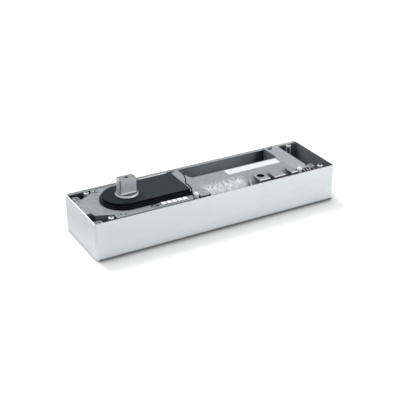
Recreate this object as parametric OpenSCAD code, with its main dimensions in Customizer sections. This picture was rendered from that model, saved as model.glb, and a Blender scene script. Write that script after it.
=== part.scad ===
// Floor spring door closer in its sheet steel floor box.
// Millimetres. Origin: middle of the box's underside. +X runs from the spindle
// end to the foot end, +Z up. The spindle stands on the box's centre line.

/* [Floor box] */
// Outer length of the floor box
box_l = 342; // [320:1:420]
// Outer width of the floor box
box_w = 93.5; // [90:0.5:130]
// Outer height of the floor box
box_h = 50; // [50:0.5:62]
// Sheet thickness of the floor box
box_wall = 1.5; // [1:0.1:2.2]
// Radius of the box's upright corners
box_corner_r = 4; // [3.5:0.5:8]
// Radius of the bend between floor and walls
box_bend_r = 3.8; // [2.4:0.1:4]

/* [Cover plate posts] */
// Distance between the posts along the box
post_span_x = 300; // [270:1:304]
// Distance between the posts across the box
post_span_y = 74; // [72:0.5:75]
// Diameter of a post
post_d = 7; // [6:0.1:8]
// Height of the post tops above the box rim
post_rise = 0.2; // [0:0.1:3]
// Width of the slot down a post's side
post_slot_w = 2.8; // [1.6:0.1:3]
// Height of the closed ring above a post's slot
post_ring_h = 3.2; // [2:0.1:6]
// Tapping hole in a post
post_hole_d = 4.2; // [3.3:0.1:4.4]

/* [Closer castings] */
// Gap between the box floor and the closer, for levelling
level_gap = 3; // [2:0.1:6]
// Depth of the head deck below the box rim
deck_drop = 1.1; // [0.5:0.1:4]
// Width of the head casting
head_w = 84; // [80:0.5:88]
// Distance from the spindle to the head's blunt end
head_nose = 60.5; // [52:0.5:62]
// Distance from the spindle to the joint face of head and spring housing
joint_from_spindle = 70; // [70:0.5:80]
// Distance from the spindle to the far end of the end foot
foot_end = 247; // [240:1:275]
// Length of the end foot along the closer
foot_l = 20.5; // [16:0.5:26]
// Clear gap that follows the joint's wavy top edge
joint_gap = 1.8; // [1:0.1:2.5]

/* [Spindle] */
// Distance from the box's middle to the spindle axis
spindle_offset = 108; // [100:0.5:116]
// Height of the spindle's top above the box rim
spindle_rise = 28; // [22:0.5:45]
// Length of the flat form across its rounded ends
flat_l = 24.4; // [20:0.2:27]
// Thickness of the flat form between its flats
flat_t = 11.4; // [9:0.2:16]
// Diameter of the collar under the flat form
collar_d = 29; // [28:0.5:32]
// Height of the collar
collar_h = 2.2; // [1.5:0.1:4]
// Diameter of the spindle in its lower bearing
lower_journal_d = 15; // [12:0.5:15]
// Diameter of the spindle in the cam and the upper bearing
upper_journal_d = 16; // [15:0.5:17]
// Tapping hole in the spindle's top
spindle_hole_d = 5; // [4:0.1:6.8]
// Depth of the tapping hole in the spindle's top
spindle_hole_depth = 14; // [8:0.5:18]

/* [Cam and carriage] */
// Distance from spindle axis to roller axis with the door closed
roller_reach = 19.5; // [19:0.1:21]
// Travel of the carriage over the whole opening angle
carriage_stroke = 13; // [8:0.5:13]
// Opening angle over which the cam lifts
cam_angle = 130; // [100:5:150]
// Diameter of the roller
roller_d = 16; // [15:0.2:17]
// Diameter of the roller's pin
roller_pin_d = 7; // [6:0.1:8]
// Thickness of the cam and the roller
cam_t = 11.4; // [8:0.2:12]
// Thickness of each cheek of the carriage's fork
cheek_t = 5; // [4:0.1:6]

/* [Spring cylinder] */
// Sideways offset of the cylinder axis towards the valve side
cylinder_offset = 13.75; // [12:0.25:15]
// Bore of the spring cylinder
cylinder_bore = 36; // [32:0.5:37]
// Wall of the spring cylinder
cylinder_wall = 4.5; // [4:0.1:6]
// Length of the piston
piston_l = 20; // [16:0.5:24]
// Diameter of the piston rod
rod_d = 13.4; // [10:0.2:14]
// Wire diameter of the closing spring
spring_wire_d = 5; // [4:0.1:6]
// Number of turns of the closing spring
spring_turns = 9; // [6:1:11]

/* [Black cap] */
// Half width of the cap's foot flange
cap_r = 29.8; // [29.5:0.1:31]
// Half width of the cap's flat top
cap_top_r = 26.3; // [25.5:0.1:27]
// Height of the cap above the head deck
cap_h = 7.1; // [7:0.1:9]
// Wall of the cap
cap_wall = 1.6; // [1.2:0.1:1.9]
// Height of the cap's foot flange
cap_flange_h = 2.2; // [1.5:0.1:3]
// Distance from the spindle to the cap's square end
cap_end = 75.2; // [74:0.2:78]

/* [Fits] */
// Radial clearance of pins, bearings and screws in their bores
run_c = 0.05; // [0.02:0.01:0.09]
// Clearance between faces that slide or roll past each other
face_c = 0.3; // [0.2:0.05:0.4]
// Radial clearance of fixing screws and plugs in their holes
screw_c = 0.15; // [0.1:0.01:0.2]

/* [Hidden] */
$fn = 48;

// Heights
base_z = box_wall + level_gap;
deck_z = box_h - deck_drop;
housing_z = box_h - 0.5;
cap_z = deck_z + cap_h;
spindle_z = box_h + spindle_rise;

// Plan positions along the closer
sx = -spindle_offset;
nose_x = sx - head_nose;
joint_x = sx + joint_from_spindle;
foot_x1 = sx + foot_end;
foot_x0 = foot_x1 - foot_l;
half_w = head_w / 2;
inner_half_w = box_w / 2 - box_wall;

// Lower bearing: a deep groove ball bearing pocketed in the head's floor
bearing_od = 35;
bearing_h = 11;
bearing_z = base_z + 3.5;
bearing_top = bearing_z + bearing_h;
ball_d = 6;
ball_count = 9;
ball_pitch_r = (bearing_od + lower_journal_d) / 4;

// Cam chamber: its floor, the moving stack in it and its cover
chamber_r = roller_reach + carriage_stroke - roller_d / 2 + 1;
chamber_floor = bearing_top;
fork_z = chamber_floor + face_c;
cam_z = fork_z + cheek_t + face_c;
cam_top = cam_z + cam_t;
fork_top = cam_top + face_c + cheek_t;
cover_t = 4;
cover_z = deck_z - cover_t;
cover_lip = 4.4;
carriage_web = 20;
carriage_x0 = sx + roller_reach;
carriage_x1 = carriage_x0 + roller_d / 2 + 1 + carriage_web;
chamber_x1 = carriage_x1 + carriage_stroke + 1;
pusher_r = chamber_r - face_c;

// Spring cylinder
cy = -cylinder_offset;
cz = (base_z + housing_z) / 2;
cylinder_r = cylinder_bore / 2 + cylinder_wall;
flange_t = 0.5;
housing_x0 = joint_x + flange_t;
housing_flange_x1 = housing_x0 + 26.5;
cylinder_x0 = joint_x + 12.6 + joint_gap + 3.6;
plug_l = 12;
plug_x1 = foot_x0 - 2;
plug_x0 = plug_x1 - plug_l;
piston_x0 = cylinder_x0 + 3;
piston_x1 = piston_x0 + piston_l;
piston_seat = 6;
spring_x0 = piston_x1 - piston_seat;
spring_x1 = plug_x0;
spring_r = cylinder_bore / 2 - 2 - spring_wire_d / 2;
bush_l = 10;

// Spindle stack
collar_z = cap_z + face_c;
foot_bevel = 1;
upper_bearing_z = cam_top + face_c + cheek_t + 0.6;
upper_bearing_top = cap_z - cap_wall - 3.6;
upper_bearing_od = upper_journal_d + 8;
seal_top = cap_z - cap_wall - 0.5;
boss_r = upper_bearing_od / 2 + 3;

// Levelling screws: two in the head's corners and one in the end foot
level_far = [sx - 53, 35.5];
level_near = [sx - 53, -35.5];
level_foot = [foot_x1 + 5.4, -29];
level_d = 8;
level_head_d = 11;
ear_r = 6.6;
ear_z0 = 26;
ear_z1 = deck_z - 8.4;
foot_ear_z1 = housing_z - 6.4;

// Valves and plugs
valve_d = 8.6;
// Metal left between the speed valve and the seat of the chamber cover
valve_land = 1;
speed_pos = [sx + 21, -(chamber_r + cover_lip + valve_land + valve_d / 2)];
latch_pos = [sx + 177, -25.8];
speed_l = 16;
speed_top = deck_z - 0.5;
latch_l = 4.8;
latch_top = housing_z - 3.2;
filler_pos = [sx - 26.6, 37.2];
gallery_pos = [[joint_x + 8.2, -34.2], [foot_x0 + 4.6, -34.8]];
gallery_d = 6.6;
gallery_floor = housing_z - 5.2;
gallery_l = 11;
// Small core and gauge marks in the head deck: place from the spindle, diameter
deck_marks = [[-54.5, -14.5, 2.2], [-55, 19.5, 2.4], [-58, 14, 2], [-24, -34, 3.2],
              [-18, -36.2, 2.6]];
tongue_t = 8;
// Machined ledges on the head: height, and how far in from the head's side
ledge_h = 1.2;
near_ledge_w = 6.6;
near_ledge_y = half_w - 3.8;
far_ledge_w = 3.6;
post_slot_turn = -30;

// Top edge of the joint: a wave from the valve side to the far side
joint_wave = [
  [-0.2, -half_w], [3.5, -34], [6.5, -25], [9.6, -18], [12, -12], [12.6, -4],
  [11.6, 1], [14.6, 7], [18.6, 15], [21.2, 24], [22.2, 33], [22, half_w]
];

// ---------- shared shapes ----------

// Rectangle with round corners, drawn with true arcs
module rounded_rect(l, w, r) {
  square([l - 2 * r, w], center = true);
  square([l, w - 2 * r], center = true);
  for (x = [-1, 1], y = [-1, 1])
    translate([x * (l / 2 - r), y * (w / 2 - r)]) circle(r);
}

// Front view of a tray: upright sides on round lower edges
module tray_face(w, h, r) {
  translate([-w / 2, r]) square([w, h - r]);
  translate([-w / 2 + r, 0]) square([w - 2 * r, h]);
  for (x = [-1, 1]) translate([x * (w / 2 - r), r]) circle(r);
}

// Solid tray: its plan, front and side views meeting in one form
module tray(l, w, h, corner_r, bend_r) {
  intersection() {
    linear_extrude(h) rounded_rect(l, w, corner_r);
    translate([0, w, 0]) rotate([90, 0, 0])
      linear_extrude(2 * w) tray_face(l, h, bend_r);
    translate([-l, 0, 0]) rotate([90, 0, 90])
      linear_extrude(2 * l) tray_face(w, h, bend_r);
  }
}

// Cylinder along +X
module rod_x(x0, x1, r) {
  translate([x0, 0, 0]) rotate([0, 90, 0]) cylinder(h = x1 - x0, r = r);
}

// Move to the cylinder's axis
module on_cylinder() {
  translate([0, cy, cz]) children();
}

// Plan of a channel with one round end at the spindle and one square end
module channel(r, x_round, x_end) {
  translate([x_round, 0]) circle(r);
  translate([x_round, -r]) square([x_end - x_round, 2 * r]);
}

// Socket head screw along -Z with its head's underside at the origin
module socket_screw(d, l, head_d, head_h, socket_d) {
  translate([0, 0, -l]) cylinder(h = l + 0.01, d = d);
  difference() {
    cylinder(h = head_h, d = head_d);
    translate([0, 0, head_h * 0.4])
      cylinder(h = head_h, d = socket_d, $fn = 6);
  }
}

// Slot that a screwdriver fits
module driver_slot(d, z, depth) {
  translate([-d, -0.6, z - depth]) cube([2 * d, 1.2, depth + 1]);
}

// Slot along -Y with a round top, its arch centred on the origin
module arched_slot(w, l, depth) {
  rotate([90, 0, 0]) linear_extrude(depth) {
    translate([-w / 2, -l]) square([w, l]);
    circle(d = w);
  }
}

// ---------- floor box ----------

module cement_box() {
  color([0.82, 0.84, 0.85]) difference() {
    tray(box_l, box_w, box_h, box_corner_r, box_bend_r);
    translate([0, 0, box_wall])
      tray(box_l - 2 * box_wall, box_w - 2 * box_wall, box_h,
           box_corner_r - box_wall, box_bend_r - box_wall);
  }
}

// Upright posts on the box floor, tapped for the cover plate's screws
module cover_posts() {
  post_z = box_h + post_rise;
  post_mid = sx + 112;
  color([0.8, 0.8, 0.8])
    for (x = [-1, 1], y = [-1, 1])
      translate([post_mid + x * post_span_x / 2, y * post_span_y / 2, 0])
        difference() {
          union() {
            translate([0, 0, box_wall]) cylinder(h = 2, d = post_d + 3.4);
            rotate_extrude() {
              translate([0, box_wall]) square([post_d / 2, post_z - box_wall - 1.2]);
              translate([0, post_z - 1.4]) square([post_d / 2 - 1.2, 1.4]);
              translate([post_d / 2 - 1.2, post_z - 1.2])
                intersection() { circle(1.2); square(1.3); }
            }
          }
          translate([0, 0, post_z - post_ring_h - 20]) cylinder(h = box_h, d = post_hole_d);
          translate([0, 0, post_z - post_ring_h - post_slot_w / 2])
            rotate([0, 0, post_slot_turn]) arched_slot(post_slot_w, 16, post_d);
        }
}

// ---------- head casting ----------

// Plan of the head deck with its cut-back corners
module head_deck_plan() {
  polygon(concat(
    [[nose_x, -14.5], [nose_x + 6.6, -15], [nose_x + 8, -22.3],
     [nose_x + 22.5, -28.2], [nose_x + 29, -31], [nose_x + 29, -half_w]],
    [for (p = joint_wave) [joint_x + p[0], p[1]]],
    [[joint_x + 19.5, half_w], [joint_x + 11, 38], [joint_x + 4.5, 38],
     [joint_x + 4.5, half_w], [nose_x + 29.5, half_w], [nose_x + 28, 34.2],
     [nose_x + 18, 28.6], [nose_x + 12, 24.5], [nose_x, 22]]
  ));
}

// Plan of the head below the deck, square at the joint face
module head_plan() {
  intersection() {
    head_deck_plan();
    translate([nose_x - 1, -half_w])
      square([joint_x - nose_x + 1, 2 * half_w]);
  }
  translate([joint_x - 8, -half_w]) square([8, 2 * half_w]);
}

// Ear that carries a levelling screw in a cut-back corner
module corner_ear(pos) {
  translate([pos[0], pos[1], ear_z0]) {
    cylinder(h = ear_z1 - ear_z0, r = ear_r);
    translate([-ear_r, pos[1] > 0 ? -15 : 0, 0])
      cube([2 * ear_r, 15, ear_z1 - ear_z0]);
  }
}

module head_casting() {
  color([0.66, 0.67, 0.68]) difference() {
    union() {
      translate([0, 0, base_z]) linear_extrude(deck_z - base_z) head_plan();
      translate([0, 0, deck_z - tongue_t]) linear_extrude(tongue_t)
        head_deck_plan();
      for (p = [level_far, level_near]) corner_ear(p);
      head_ledges();
      translate([filler_pos[0], filler_pos[1], deck_z]) cylinder(h = 0.8, r = 4.2);
    }
    cam_chamber();
    translate([sx, 0, bearing_z])
      cylinder(h = bearing_h + 1, d = bearing_od + 2 * run_c);
    translate([sx, 0, base_z - 1]) cylinder(h = 6, d = lower_journal_d + 4);
    on_cylinder() rod_x(chamber_x1 - 1, joint_x + 1, rod_d / 2 + 2 + run_c);
    for (p = [level_far, level_near])
      translate([p[0], p[1], 0]) cylinder(h = deck_z, d = level_d + 2 * run_c);
    valve_bore(speed_pos, speed_top, speed_l);
    translate([filler_pos[0], filler_pos[1], deck_z - 9]) cylinder(h = 12, d = 6 + 2 * screw_c);
    cover_screw_places() translate([0, 0, cover_z - 7])
      cylinder(h = 8, d = 3 + 2 * screw_c);
    joint_screw_places() rod_x(-16, 1, 2.5 + screw_c);
    for (m = deck_marks)
      translate([sx + m[0], m[1], deck_z - 1.4]) cylinder(h = 2, d = m[2]);
    oil_gallery();
    underside_pockets();
  }
}

// Machined ledges beside the cap, crossed by shallow grooves
module head_ledges() {
  near_l = 40;
  far_l = 39.5;
  pitch = (near_l - 4) / 5;
  groove_w = 1.2;
  for (i = [0:4])
    translate([joint_x - near_l + i * pitch, -near_ledge_y, deck_z - 1])
      cube([pitch - groove_w, near_ledge_w, 1 + ledge_h - i * 0.12]);
  translate([joint_x + 4.5 - far_l, half_w - far_ledge_w, deck_z - 1])
    cube([far_l, far_ledge_w, 1 + ledge_h]);
}

// Chamber for cam and carriage with a seat for its cover
module cam_chamber() {
  translate([0, 0, chamber_floor]) linear_extrude(box_h)
    channel(chamber_r, sx, chamber_x1);
  translate([0, 0, cover_z]) linear_extrude(cover_t + 1)
    channel(chamber_r + cover_lip + 0.1, sx, chamber_x1 + cover_lip + 0.1);
}

// Bore for a valve of length l whose head lies at height top
module valve_bore(pos, top, l) {
  translate([pos[0], pos[1], top - l]) {
    translate([0, 0, l - 0.6]) cylinder(h = 12, d = valve_d + 1.6);
    cylinder(h = l, d = valve_d + 2 * run_c);
    translate([0, 0, -3]) cylinder(h = 4, d = 4);
  }
}

// Oil passage from the cam chamber to the speed valve
module oil_gallery() {
  translate([speed_pos[0], speed_pos[1], speed_top - speed_l - 2])
    rotate([-90, 0, 0]) cylinder(h = 14, d = 3);
}

// Lightening pockets under the head, between its ribs
module underside_pockets() {
  for (y = [-1, 1], i = [0:2])
    translate([sx + 26 + 15 * i - 6, y * 31.5 - 6, base_z - 1])
      cube([12, 12, 9]);
}

// ---------- joint of head and spring housing ----------

module joint_screw_places() {
  for (p = [[-36.6, 11], [-36.6, 32], [10.5, 11]])
    translate([joint_x, p[0], p[1]]) children();
}

module joint_gasket() {
  color([0.35, 0.33, 0.3]) difference() {
    translate([joint_x, -half_w + 0.5, base_z + 1])
      cube([flange_t, half_w + 14, deck_z - tongue_t - base_z - 2]);
    on_cylinder() rod_x(joint_x - 1, joint_x + 1, rod_d / 2 + 4);
    joint_screw_places() rod_x(-1, 1, 2.7);
  }
}

module joint_screws() {
  color([0.5, 0.5, 0.52]) joint_screw_places()
    translate([flange_t + 18, 0, 0]) rotate([0, 90, 0])
      socket_screw(5, 32, 8.4, 5, 4);
}

// ---------- spring housing ----------

// Plan of the housing's bolting flange, following the joint's wave
module flange_plan() {
  polygon(concat(
    [[housing_flange_x1, -39]],
    [[housing_flange_x1, 15.2], [joint_x + 24.8, 16.2], [joint_x + 23.6, 22.6]],
    [for (i = [9:-1:1]) [joint_x + joint_wave[i][0] + joint_gap, joint_wave[i][1]]],
    [[joint_x + joint_gap, -39]]
  ));
}

module spring_housing() {
  color([0.66, 0.67, 0.68]) difference() {
    union() {
      // bolting flange under the head's tongue and up to the wavy edge
      translate([housing_x0, -half_w, base_z])
        cube([housing_flange_x1 - housing_x0, half_w + 15.2, deck_z - tongue_t - 0.6 - base_z]);
      translate([0, 0, base_z + 20]) linear_extrude(housing_z - base_z - 20.4)
        intersection() {
          flange_plan();
          translate([housing_x0, -60]) square([60, 120]);
        }
      cylinder_barrel();
      valve_pads();
      casting_rib();
    }
    on_cylinder() rod_x(cylinder_x0, foot_x0 + 1, cylinder_bore / 2);
    on_cylinder() rod_x(housing_x0 - 1, cylinder_x0 + 1, rod_d / 2 + 2 + run_c);
    joint_screw_places() {
      rod_x(0, 30, 2.5 + screw_c);
      rod_x(flange_t + 18, 30, 4.6);
    }
    foot_screw_places() rod_x(-9, 1, 2.5 + screw_c);
    valve_bore(latch_pos, latch_top, latch_l);
    gallery_pocket(gallery_pos[0]);
    tongue_clearance();
  }
}

// Barrel round the cylinder with a flat-topped block on its far side
module cylinder_barrel() {
  block_y = 11.2;
  on_cylinder() intersection() {
    rod_x(housing_x0 + 4, foot_x0, cylinder_r);
    translate([housing_x0, -40, base_z - cz]) cube([300, 80, housing_z - base_z]);
  }
  translate([housing_x0 + 4, cy, base_z])
    cube([foot_x0 - housing_x0 - 4, block_y - cy - 3, housing_z - base_z]);
  translate([housing_x0 + 4, cy, base_z + 6])
    cube([foot_x0 - housing_x0 - 4, block_y - cy, housing_z - base_z - 6]);
}

// Flat-topped pads on the valve side, standing out from the barrel
module valve_pads() {
  pad_y = -38.2;
  for (p = [[169.2, 184.4, 0], [191.2, 208, 0.4], [217.4, foot_x0 - sx, 0.2]])
    translate([sx + p[0], pad_y, base_z + 22])
      cube([p[1] - p[0], cy - pad_y, housing_z - base_z - 22 - p[2]]);
}

// Slanting rib in front of the first pad
module casting_rib() {
  rib_t = 2.6;
  reach = cy + half_w - 3;
  translate([sx + 165.6, cy, 0]) rotate([0, 0, -20]) translate([-rib_t / 2, 0, 0])
    rotate([90, 0, 90]) linear_extrude(rib_t)
      polygon([[0, base_z + 20], [0, housing_z - 0.2], [-reach / 3, housing_z - 0.8],
               [-reach, housing_z - 6], [-reach, base_z + 24]]);
}

// Keeps the barrel's end clear of the head's tongue
module tongue_clearance() {
  translate([0, 0, deck_z - tongue_t - 0.6]) linear_extrude(tongue_t + 4)
    difference() {
      translate([housing_x0 - 1, -60])
        square([joint_x + 24 - housing_x0, 120]);
      flange_plan();
    }
}

// ---------- end foot ----------

module foot_screw_places() {
  for (p = [[-34.6, 33], [5.6, 12], [5.6, 41]])
    translate([foot_x0, p[0], p[1]]) children();
}

module end_foot() {
  foot_y0 = -41;
  foot_y1 = inner_half_w - 0.9;
  color([0.66, 0.67, 0.68]) difference() {
    union() {
      translate([foot_x0, foot_y0, base_z])
        cube([foot_l, foot_y1 - foot_y0, housing_z - base_z]);
      translate([foot_x1 - 2, level_foot[1] - ear_r, foot_ear_z1 - 10])
        cube([level_foot[0] - foot_x1 + 2, 2 * ear_r, 10]);
      translate([level_foot[0], level_foot[1], foot_ear_z1 - 10])
        cylinder(h = 10, r = ear_r);
    }
    // slot at the far edge
    translate([foot_x0 + 3.4, foot_y1 - 7.6, base_z - 1]) linear_extrude(box_h)
      polygon([[0, 0], [4.6, 0], [11, 9], [0, 9]]);
    // step at the near end, crossed by two low webs
    difference() {
      translate([foot_x0 + 10.5, foot_y0 - 1, housing_z - 4]) cube([20, 9, 6]);
      for (i = [0, 1])
        translate([foot_x0 + 13 + 4 * i, foot_y0 - 3, housing_z - 5])
          rotate([0, 0, -12]) cube([1.4, 14, 4.2]);
    }
    translate([level_foot[0], level_foot[1], 0])
      cylinder(h = box_h, d = level_d + 2 * run_c);
    translate([level_foot[0], level_foot[1], foot_ear_z1])
      cylinder(h = 20, r = ear_r + 0.6);
    foot_screw_places() {
      rod_x(-1, foot_l + 1, 2.5 + screw_c);
      rod_x(foot_l - 8, foot_l + 1, 4.8);
    }
    // hollows in the outer face, leaving a rib between them
    for (y = [-24, 20])
      translate([foot_x0 + 6, y, base_z + 5]) cube([foot_l, 14.5, 25]);
    gallery_pocket(gallery_pos[1]);
  }
}

module foot_screws() {
  color([0.5, 0.5, 0.52]) foot_screw_places()
    translate([foot_l - 8, 0, 0]) rotate([0, 90, 0])
      socket_screw(5, foot_l - 8 + 8, 8.5, 5, 4);
}

// ---------- chamber cover and black cap ----------

module cover_screw_places() {
  r = chamber_r + cover_lip / 2 - 0.4;
  for (a = [90:45:270])
    translate([sx + r * cos(a), r * sin(a), 0]) children();
  for (y = [-1, 1]) translate([chamber_x1 - 6, y * r, 0]) children();
}

module chamber_cover() {
  color([0.55, 0.56, 0.58]) difference() {
    union() {
      translate([0, 0, cover_z]) linear_extrude(cover_t)
        channel(chamber_r + cover_lip, sx, chamber_x1 + cover_lip);
      translate([sx, 0, upper_bearing_z + 0.4])
        cylinder(h = seal_top - upper_bearing_z - 0.4, r = boss_r);
    }
    translate([sx, 0, upper_bearing_z - 1])
      cylinder(h = seal_top, d = upper_bearing_od + 2 * run_c);
    cover_screw_places() {
      translate([0, 0, cover_z - 1]) cylinder(h = cover_t + 2, d = 3 + 2 * screw_c);
      translate([0, 0, deck_z - 1.5]) cylinder(h = 1.6, d1 = 3.2, d2 = 5);
    }
  }
}

module cover_screws() {
  color([0.5, 0.5, 0.52]) cover_screw_places() difference() {
    union() {
      translate([0, 0, cover_z - 6]) cylinder(h = 8.6, d = 3);
      translate([0, 0, deck_z - 1.5]) cylinder(h = 1.4, d1 = 3, d2 = 4.7);
    }
    driver_slot(3, deck_z - 0.1, 0.7);
  }
}

module top_cap() {
  x0 = sx - 4.6;
  x1 = sx + cap_end;
  step_r = (cap_r + cap_top_r) / 2 + 0.2;
  color([0.2, 0.21, 0.23]) difference() {
    union() {
      translate([0, 0, deck_z]) linear_extrude(cap_flange_h) channel(cap_r, x0, x1);
      translate([0, 0, deck_z]) linear_extrude(cap_flange_h + 1.6)
        channel(step_r, x0, x1 - 0.6);
      translate([0, 0, deck_z]) linear_extrude(cap_h) channel(cap_top_r, x0, x1 - 1.2);
    }
    translate([0, 0, deck_z - 1]) linear_extrude(cap_h + 1 - cap_wall)
      channel(cap_top_r - cap_wall, x0, x1 - 1.2 - cap_wall);
    translate([sx, 0, deck_z]) cylinder(h = cap_h + 1, d = upper_journal_d + 5);
  }
}

module spindle_seal() {
  color([0.12, 0.12, 0.12]) translate([sx, 0, upper_bearing_top]) difference() {
    cylinder(h = seal_top - upper_bearing_top, d = upper_bearing_od);
    translate([0, 0, -1]) cylinder(h = 10, d = upper_journal_d + 2 * run_c);
    translate([0, 0, -1]) cylinder(h = 2.4, d = upper_journal_d + 3);
  }
}

module upper_bearing() {
  color([0.72, 0.55, 0.3]) translate([sx, 0, upper_bearing_z]) difference() {
    cylinder(h = upper_bearing_top - upper_bearing_z, d = upper_bearing_od);
    translate([0, 0, -1])
      cylinder(h = upper_bearing_top, d = upper_journal_d + 2 * run_c);
  }
}

// ---------- lower bearing ----------

module ball_groove() {
  translate([ball_pitch_r, bearing_h / 2]) circle(d = ball_d + 4 * run_c);
}

module lower_bearing_outer_ring() {
  color([0.75, 0.76, 0.78]) translate([sx, 0, bearing_z]) rotate_extrude()
    difference() {
      translate([ball_pitch_r + 1.9, 0])
        square([bearing_od / 2 - ball_pitch_r - 1.9, bearing_h]);
      ball_groove();
    }
}

module lower_bearing_inner_ring() {
  color([0.75, 0.76, 0.78]) translate([sx, 0, bearing_z]) rotate_extrude()
    difference() {
      translate([lower_journal_d / 2, 0])
        square([ball_pitch_r - 1.9 - lower_journal_d / 2, bearing_h]);
      ball_groove();
    }
}

module lower_bearing_balls() {
  color([0.85, 0.86, 0.88])
    for (i = [0:ball_count - 1])
      translate([sx, 0, bearing_z + bearing_h / 2]) rotate(i * 360 / ball_count)
        translate([ball_pitch_r, 0, 0]) sphere(d = ball_d);
}

// ---------- spindle, cam and key ----------

// Flat form: two flats between rounded ends
module flat_plan() {
  intersection() {
    circle(d = flat_l);
    square([flat_l, flat_t], center = true);
  }
}

// Bevel along the foot of one flat, on top of the collar
module flat_bevel() {
  bevel_l = 2 * sqrt(pow(flat_l / 2, 2) - pow(flat_t / 2 + foot_bevel, 2)) - 0.4;
  translate([-bevel_l / 2, flat_t / 2 - 0.2, collar_z + collar_h - 0.2])
    rotate([90, 0, 90]) linear_extrude(bevel_l)
      polygon([[0, 0], [foot_bevel + 0.4, 0], [0, foot_bevel + 0.4]]);
}

module spindle() {
  color([0.72, 0.73, 0.74]) translate([sx, 0, 0]) difference() {
    union() {
      translate([0, 0, bearing_z]) cylinder(h = bearing_h + 1, d = lower_journal_d - 0.04);
      translate([0, 0, bearing_top]) cylinder(h = cam_z - bearing_top, d = 20);
      translate([0, 0, cam_z]) cylinder(h = collar_z - cam_z, d = upper_journal_d);
      translate([0, 0, collar_z])
        cylinder(h = collar_h, d1 = collar_d, d2 = collar_d - 1.6);
      translate([0, 0, collar_z + collar_h - 0.2]) linear_extrude(
        spindle_z - collar_z - collar_h + 0.2 - 1) flat_plan();
      for (turn = [0, 180]) rotate([0, 0, turn]) flat_bevel();
      intersection() {
        translate([0, 0, spindle_z - 2]) linear_extrude(2) flat_plan();
        translate([0, 0, spindle_z - 2]) cylinder(h = 2, d1 = flat_l + 2, d2 = flat_l - 2);
      }
    }
    translate([0, 0, spindle_z - spindle_hole_depth])
      cylinder(h = spindle_hole_depth + 1, d = spindle_hole_d);
    // keyway on the far side of the cam's valley
    translate([-upper_journal_d / 2 - 1, -2.5, cam_z]) cube([4, 5, cam_t]);
    // groove for the circlip
    translate([0, 0, cam_top + 0.1]) difference() {
      cylinder(h = 1.4, d = upper_journal_d + 2);
      translate([0, 0, -1]) cylinder(h = 4, d = upper_journal_d - 1.6);
    }
  }
}

// Distance from spindle axis to roller axis when the door stands at angle a
function reach_at(a) = roller_reach + carriage_stroke * min(abs(a), cam_angle) / cam_angle;

// Turn of the roller's path against the circle, at angle a
function path_tilt(a) = abs(a) >= cam_angle || a == 0 ? 0
  : sign(a) * atan(carriage_stroke / (cam_angle * PI / 180) / reach_at(a));

// Point of the cam's flank that touches the roller when the door stands at a
function flank(a) = let (t = path_tilt(a), r = roller_d / 2 + face_c * 0.6)
  [reach_at(a) * cos(a) - r * cos(a - t), reach_at(a) * sin(a) - r * sin(a - t)];

// Heart: a valley that the roller rests in, and a steady rise on both sides
module cam_plan() {
  step = 4;
  r = roller_d / 2 + face_c * 0.6;
  tilt = atan(carriage_stroke / (cam_angle * PI / 180) / roller_reach);
  difference() {
    polygon([for (a = [0.01:step:360]) flank(a > 180 ? a - 360 : a)]);
    translate([roller_reach, 0]) circle(r);
  }
}

module cam() {
  color([0.6, 0.6, 0.62]) translate([sx, 0, cam_z]) difference() {
    linear_extrude(cam_t) cam_plan();
    translate([0, 0, -1]) cylinder(h = cam_t + 2, d = upper_journal_d + 0.04);
    translate([-upper_journal_d / 2 - 2.6, -2.5, -1]) cube([4, 5, cam_t + 2]);
  }
}

module cam_key() {
  color([0.5, 0.5, 0.5])
    translate([sx - upper_journal_d / 2 - 2.5, -2.48, cam_z + 0.1])
      cube([5.4, 4.96, cam_t - 0.2]);
}

module cam_circlip() {
  color([0.4, 0.4, 0.42]) translate([sx, 0, cam_top + 0.2]) difference() {
    cylinder(h = 1.2, d = upper_journal_d + 4);
    translate([0, 0, -1]) cylinder(h = 4, d = upper_journal_d - 1.5);
    translate([0, -2, -1]) cube([20, 4, 4]);
  }
}

// ---------- carriage, roller and piston ----------

module carriage() {
  web_x0 = carriage_x0 + roller_d / 2 + 1;
  color([0.62, 0.62, 0.64]) difference() {
    union() {
      translate([web_x0, -pusher_r, fork_z])
        cube([carriage_web, 2 * pusher_r, fork_top - fork_z]);
      for (z = [fork_z, cam_top + face_c]) translate([0, 0, z])
        linear_extrude(cheek_t) {
          translate([carriage_x0, 0]) circle(r = 7);
          polygon([[carriage_x0, -7], [web_x0 + 1, -14], [web_x0 + 1, 14], [carriage_x0, 7]]);
        }
      on_cylinder() rod_x(carriage_x1 - 1, piston_x0, rod_d / 2);
      on_cylinder() rod_x(piston_x0 - 1, piston_x0 + 9, 5);
    }
    translate([carriage_x0, 0, fork_z - 1])
      cylinder(h = fork_top, d = roller_pin_d + 2 * run_c);
    // oil passes through the pusher on the far side
    translate([web_x0 - 1, 14, cz]) rotate([0, 90, 0]) cylinder(h = carriage_web + 2, d = 7);
  }
}

module roller_pin() {
  color([0.7, 0.7, 0.72]) translate([carriage_x0, 0, fork_z])
    cylinder(h = fork_top - fork_z, d = roller_pin_d);
}

module roller() {
  color([0.78, 0.79, 0.8]) translate([carriage_x0, 0, cam_z + 0.1]) difference() {
    rotate_extrude() polygon([
      [0, 0], [roller_d / 2 - 0.6, 0], [roller_d / 2, 0.6],
      [roller_d / 2, cam_t - 0.8], [roller_d / 2 - 0.6, cam_t - 0.2], [0, cam_t - 0.2]]);
    translate([0, 0, -1]) cylinder(h = cam_t + 2, d = roller_pin_d + 2 * run_c);
  }
}

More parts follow.
